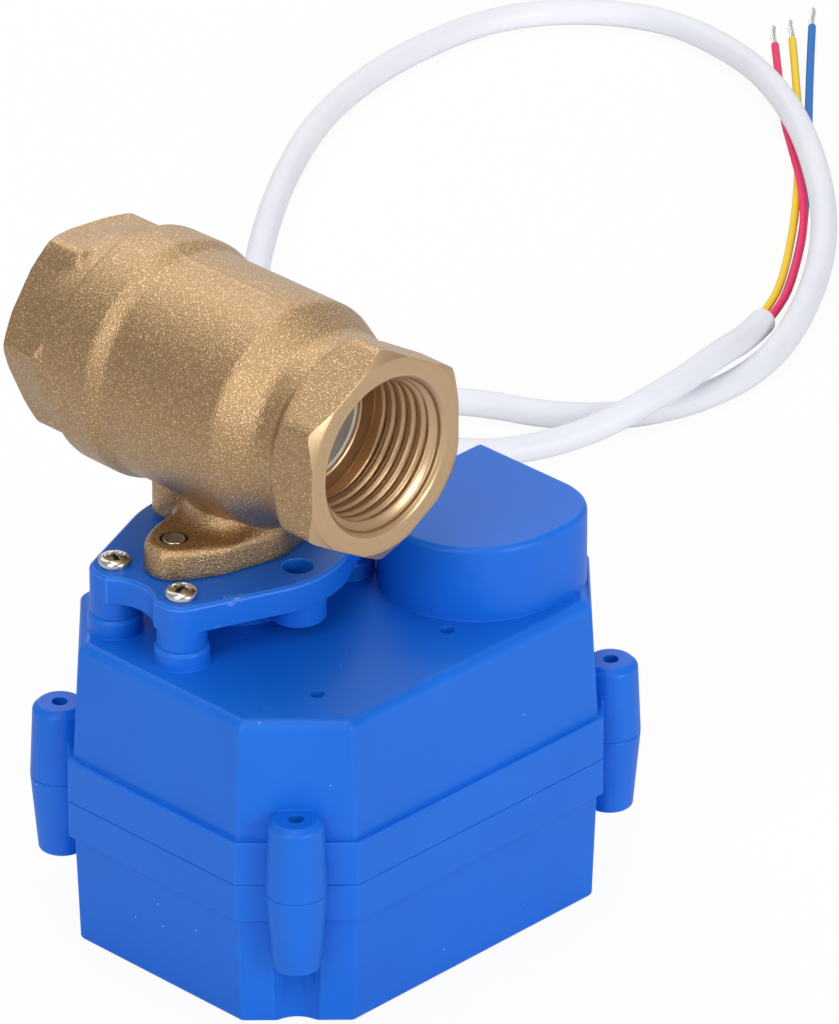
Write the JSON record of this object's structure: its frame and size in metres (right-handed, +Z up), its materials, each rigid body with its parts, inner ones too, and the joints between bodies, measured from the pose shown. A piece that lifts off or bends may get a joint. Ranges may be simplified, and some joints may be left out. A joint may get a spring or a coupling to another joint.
{
  "type": "motorized valve",
  "caption": "Electric ball valve: brass valve with threaded ports on a geared blue actuator with a white cable",
  "frame": {"origin": "on the stem axis at the flat base that the valve stands on", "axes": "+Z up along the stem, -Y out of the front port, Y along the pipe, X along the actuator's long side"},
  "size_m": [0.2775, 0.1972, 0.0926],
  "materials": {
    "brass_cast": "sand-cast brass with machined faces",
    "brass_turned": "turned brass",
    "chrome_ball": "polished chrome plate",
    "ptfe": "smooth PTFE",
    "black_rubber": "matte rubber",
    "blue_plastic": "satin moulded ABS",
    "nickel_steel": "nickel-plated steel",
    "gear_plastic": "natural acetal",
    "gear_steel": "plain steel",
    "black_plastic": "moulded nylon",
    "board_green": "solder mask",
    "white_rubber": "satin PVC",
    "white_pvc": "satin PVC jacket",
    "yellow_pvc": "PVC insulation",
    "red_pvc": "PVC insulation",
    "blue_pvc": "PVC insulation",
    "tinned_copper": "tinned twisted strands"
  },
  "bodies": {
    "actuator": {"valve_body": "brass_cast", "end_adapter": "brass_cast", "front_seat": "ptfe", "rear_seat": "ptfe", "mounting_bracket": "blue_plastic", "bracket_screws": "nickel_steel", "flange_screws": "nickel_steel", "gearbox_housing": "blue_plastic", "bottom_cover": "blue_plastic", "housing_gasket": "black_rubber", "cover_screws": "nickel_steel", "gear_pins": "gear_steel", "gear_plate": "gear_steel", "plate_screws": "nickel_steel", "motor": "gear_steel", "shaft_seal": "black_rubber", "open_switch": "black_plastic", "closed_switch": "black_plastic", "circuit_board": "board_green", "cable_gland": "white_rubber", "cable_jacket": "white_pvc", "yellow_wire": "yellow_pvc", "red_wire": "red_pvc", "blue_wire": "blue_pvc", "wire_ends": "tinned_copper", "board_leads": "red_pvc"},
    "drive": {"ball": "chrome_ball", "stem": "brass_turned", "stem_seals": "black_rubber", "output_gear": "gear_steel", "limit_cam": "gear_plastic"},
    "motor_pinion": {"motor_pinion": "gear_steel"},
    "first_gear": {"first_gear": "gear_plastic"},
    "second_gear": {"second_gear": "gear_plastic"},
    "third_gear": {"third_gear": "gear_plastic"}
  },
  "joints": [
    {"name": "valve_turn", "type": "hinge", "parent": "actuator", "child": "drive", "pos_m": [0, 0, 0.0761], "axis": [0, 0, 1], "range_deg": [0, 90]},
    {"name": "third_gear_turn", "type": "hinge", "parent": "actuator", "child": "third_gear", "pos_m": [0.01423, -0.00893, 0.0149], "axis": [0, 0, 1], "range_deg": [-330.5, 0]},
    {"name": "second_gear_turn", "type": "hinge", "parent": "actuator", "child": "second_gear", "pos_m": [0.0195, 0.00296, 0.0186], "axis": [0, 0, 1], "range_deg": [0, 1100.5]},
    {"name": "first_gear_turn", "type": "hinge", "parent": "actuator", "child": "first_gear", "pos_m": [0.02946, -0.0054, 0.0223], "axis": [0, 0, 1], "range_deg": [-3667.17, 0]},
    {"name": "motor_turn", "type": "hinge", "parent": "actuator", "child": "motor_pinion", "pos_m": [0.0272, -0.0182, 0.023], "axis": [0, 0, 1], "range_deg": [0, 12222.72]}
  ],
  "couplings": [
    {"joint": "third_gear_turn", "follows": "valve_turn", "ratio": -3.6667},
    {"joint": "second_gear_turn", "follows": "valve_turn", "ratio": 12.222},
    {"joint": "first_gear_turn", "follows": "valve_turn", "ratio": -40.741},
    {"joint": "motor_turn", "follows": "valve_turn", "ratio": 135.8}
  ]
}
